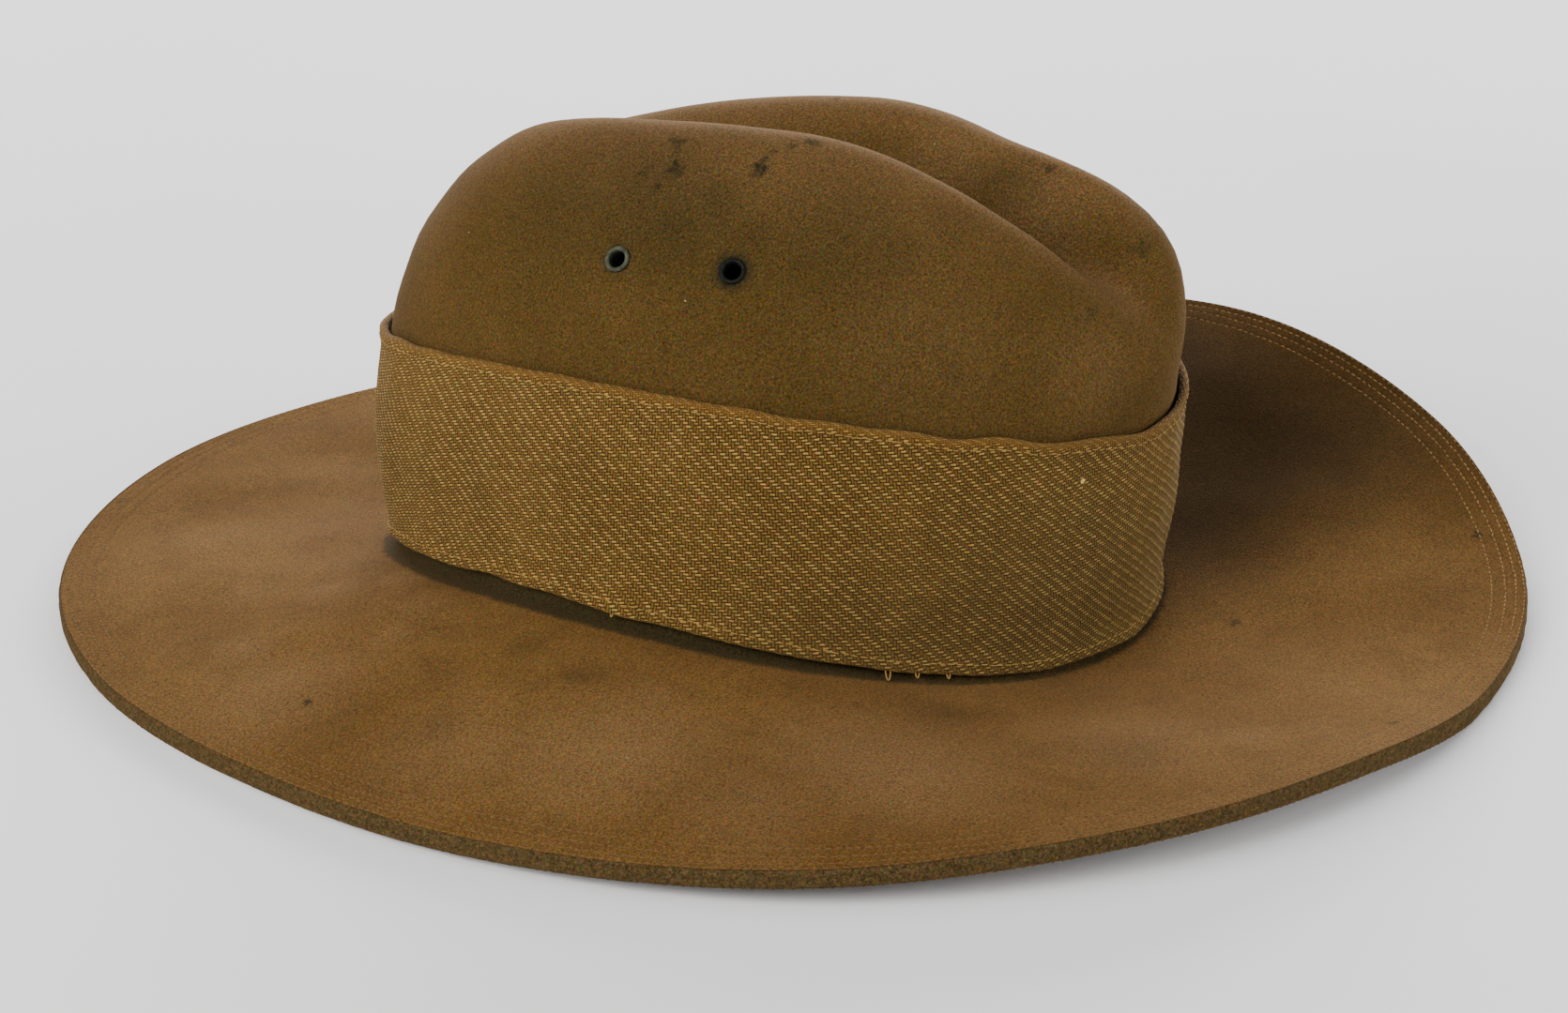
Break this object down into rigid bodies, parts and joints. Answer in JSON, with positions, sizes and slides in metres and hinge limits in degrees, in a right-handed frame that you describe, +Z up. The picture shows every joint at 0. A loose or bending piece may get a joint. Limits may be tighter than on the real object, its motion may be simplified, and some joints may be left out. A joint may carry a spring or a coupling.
{
  "type": "slouch hat",
  "caption": "Felt slouch hat with a creased crown, a wide brim turned up at the left front, a folded twill band and small metal ventilation eyelets",
  "frame": {"origin": "on the surface the hat rests on, under the middle of the brim's outline", "axes": "+X to the wearer's left, -Y to the front, +Z up, with the hat resting on its rim"},
  "size_m": [0.3598, 0.3904, 0.1377],
  "materials": {
    "felt": "brown wool and fur felt, matt with a short nap",
    "band_cloth": "coarse golden brown twill, matt",
    "eyelet_metal": "dull painted brass, worn and darkened"
  },
  "bodies": {
    "root": {"felt_body": "felt", "cloth_band": "band_cloth", "eyelet_right_rear": "eyelet_metal", "eyelet_right_front": "eyelet_metal", "eyelet_left_front": "eyelet_metal", "eyelet_left_rear": "eyelet_metal"}
  },
  "joints": []
}
